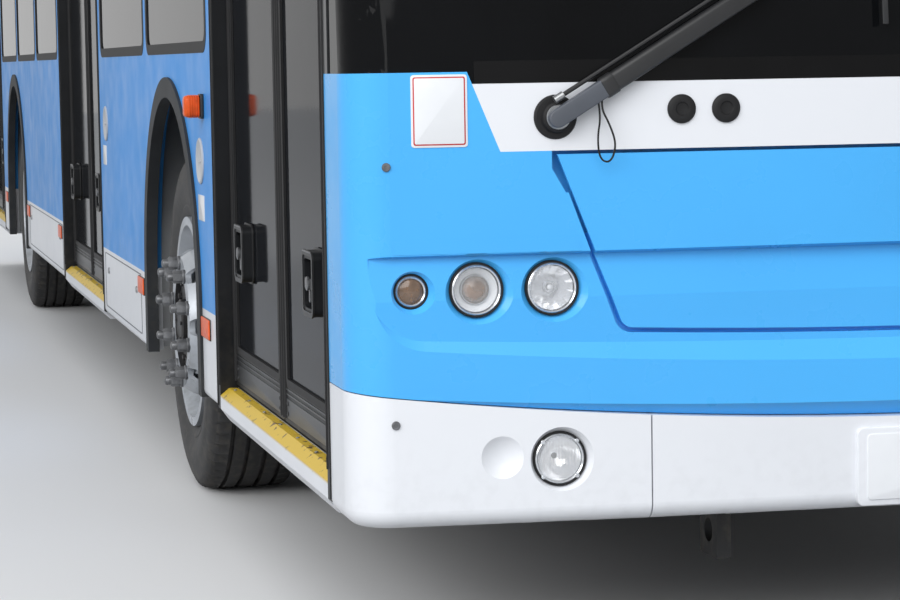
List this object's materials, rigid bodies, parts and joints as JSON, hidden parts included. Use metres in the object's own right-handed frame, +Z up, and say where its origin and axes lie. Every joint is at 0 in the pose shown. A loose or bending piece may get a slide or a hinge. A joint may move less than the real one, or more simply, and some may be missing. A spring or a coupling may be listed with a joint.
{
  "type": "trolleybus",
  "caption": "Low-floor city trolleybus with swinging double-leaf doors, steered front wheels, twin rear wheels, a lifting front hatch and roof-mounted trolley poles.",
  "frame": {"origin": "on the ground under the middle of the vehicle's length and width", "axes": "+X forward along the length, +Y to the vehicle's left, +Z up"},
  "size_m": [12.04, 3.05, 3.502],
  "materials": {
    "blue_paint": "gloss",
    "white_paint": "gloss",
    "black_trim": "satin",
    "black_metal": "satin",
    "underframe": "matt",
    "tinted_glass": "polished",
    "door_glass": "polished",
    "lamp_lens": "clear over chrome",
    "red_lens": "gloss",
    "orange_lens": "gloss",
    "arch_rubber": "matt",
    "yellow_paint": "worn gloss",
    "tyre": "matt",
    "wheel_silver": "satin",
    "grey_paint": "satin",
    "pole_steel": "satin",
    "seat_plastic": "grained",
    "interior_panel": "grained",
    "dash_plastic": "grained",
    "rail_paint": "gloss"
  },
  "bodies": {
    "body": {"floor": "underframe", "wheel_boxes": "interior_panel", "side_wall_right": "blue_paint", "side_wall_left": "blue_paint", "side_skirts": "white_paint", "roof_shell": "white_paint", "front_mask": "blue_paint", "windscreen_frame": "white_paint", "front_bumper": "white_paint", "rear_wall": "blue_paint", "rear_bumper": "white_paint", "body_glass": "tinted_glass", "front_lamps": "lamp_lens", "rear_lamps": "red_lens", "side_markers": "orange_lens", "arch_trims": "arch_rubber", "door_frames": "black_metal", "door_steps": "yellow_paint", "mirrors": "black_trim", "wipers": "black_trim", "front_axle": "underframe", "rear_axle": "underframe", "traction_motor": "underframe", "roof_equipment": "grey_paint", "collector_mount": "underframe", "seats": "seat_plastic", "cab_partition": "interior_panel", "dashboard": "dash_plastic", "driver_seat": "dash_plastic", "steering_wheel": "dash_plastic", "handrails": "rail_paint", "route_display": "black_trim"},
    "hatch": {"front_hatch": "blue_paint"},
    "knuckle_right": {"knuckle_right": "underframe"},
    "front_wheel_right": {"front_rim_right": "wheel_silver", "front_tyre_right": "tyre"},
    "rear_wheels_right": {"rear_rims_right": "wheel_silver", "rear_tyres_right": "tyre"},
    "pole_swivel_right": {"pole_swivel_right": "underframe"},
    "trolley_pole_right": {"trolley_pole_right": "pole_steel"},
    "knuckle_left": {"knuckle_left": "underframe"},
    "front_wheel_left": {"front_rim_left": "wheel_silver", "front_tyre_left": "tyre"},
    "rear_wheels_left": {"rear_rims_left": "wheel_silver", "rear_tyres_left": "tyre"},
    "pole_swivel_left": {"pole_swivel_left": "underframe"},
    "trolley_pole_left": {"trolley_pole_left": "pole_steel"},
    "front_door_fore": {"front_door_fore_leaf": "black_metal", "front_door_fore_pane": "door_glass"},
    "front_door_aft": {"front_door_aft_leaf": "black_metal", "front_door_aft_pane": "door_glass"},
    "middle_door_fore": {"middle_door_fore_leaf": "black_metal", "middle_door_fore_pane": "door_glass"},
    "middle_door_aft": {"middle_door_aft_leaf": "black_metal", "middle_door_aft_pane": "door_glass"},
    "rear_door_fore": {"rear_door_fore_leaf": "black_metal", "rear_door_fore_pane": "door_glass"},
    "rear_door_aft": {"rear_door_aft_leaf": "black_metal", "rear_door_aft_pane": "door_glass"}
  },
  "joints": [
    {"name": "hatch_lift", "type": "hinge", "parent": "body", "child": "hatch", "pos_m": [6.001, 0, 1.026], "axis": [0, -1, 0], "range_deg": [0, 80]},
    {"name": "steer_right", "type": "hinge", "parent": "body", "child": "knuckle_right", "pos_m": [3.28, -0.972, 0.478], "axis": [0, 0, 1], "range_deg": [-38, 38]},
    {"name": "front_spin_right", "type": "hinge", "parent": "knuckle_right", "child": "front_wheel_right", "pos_m": [3.28, -1.1, 0.478], "axis": [0, 1, 0], "continuous": true},
    {"name": "rear_spin_right", "type": "hinge", "parent": "body", "child": "rear_wheels_right", "pos_m": [-2.86, -1, 0.478], "axis": [0, 1, 0], "continuous": true},
    {"name": "pole_turn_right", "type": "hinge", "parent": "body", "child": "pole_swivel_right", "pos_m": [0.52, -0.3, 3.25], "axis": [0, 0, 1], "range_deg": [-35, 35]},
    {"name": "pole_lift_right", "type": "hinge", "parent": "pole_swivel_right", "child": "trolley_pole_right", "pos_m": [0.52, -0.3, 3.44], "axis": [0, 1, 0], "range_deg": [0, 38]},
    {"name": "steer_left", "type": "hinge", "parent": "body", "child": "knuckle_left", "pos_m": [3.28, 0.972, 0.478], "axis": [0, 0, 1], "range_deg": [-38, 38]},
    {"name": "front_spin_left", "type": "hinge", "parent": "knuckle_left", "child": "front_wheel_left", "pos_m": [3.28, 1.1, 0.478], "axis": [0, 1, 0], "continuous": true},
    {"name": "rear_spin_left", "type": "hinge", "parent": "body", "child": "rear_wheels_left", "pos_m": [-2.86, 1, 0.478], "axis": [0, 1, 0], "continuous": true},
    {"name": "pole_turn_left", "type": "hinge", "parent": "body", "child": "pole_swivel_left", "pos_m": [0.52, 0.3, 3.25], "axis": [0, 0, 1], "range_deg": [-35, 35]},
    {"name": "pole_lift_left", "type": "hinge", "parent": "pole_swivel_left", "child": "trolley_pole_left", "pos_m": [0.52, 0.3, 3.44], "axis": [0, 1, 0], "range_deg": [0, 38]},
    {"name": "front_door_fore_swing", "type": "hinge", "parent": "body", "child": "front_door_fore", "pos_m": [5.649, -1.193, 1.3], "axis": [0, 0, -1], "range_deg": [0, 90]},
    {"name": "front_door_aft_swing", "type": "hinge", "parent": "body", "child": "front_door_aft", "pos_m": [4.224, -1.193, 1.3], "axis": [0, 0, 1], "range_deg": [0, 90]},
    {"name": "middle_door_fore_swing", "type": "hinge", "parent": "body", "child": "middle_door_fore", "pos_m": [1.285, -1.193, 1.3], "axis": [0, 0, -1], "range_deg": [0, 90]},
    {"name": "middle_door_aft_swing", "type": "hinge", "parent": "body", "child": "middle_door_aft", "pos_m": [-0.18, -1.193, 1.3], "axis": [0, 0, 1], "range_deg": [0, 90]},
    {"name": "rear_door_fore_swing", "type": "hinge", "parent": "body", "child": "rear_door_fore", "pos_m": [-3.921, -1.193, 1.3], "axis": [0, 0, -1], "range_deg": [0, 90]},
    {"name": "rear_door_aft_swing", "type": "hinge", "parent": "body", "child": "rear_door_aft", "pos_m": [-5.279, -1.193, 1.3], "axis": [0, 0, 1], "range_deg": [0, 90]}
  ],
  "couplings": [
    {"joint": "steer_left", "follows": "steer_right", "ratio": 1},
    {"joint": "pole_turn_left", "follows": "pole_turn_right", "ratio": 1}
  ]
}
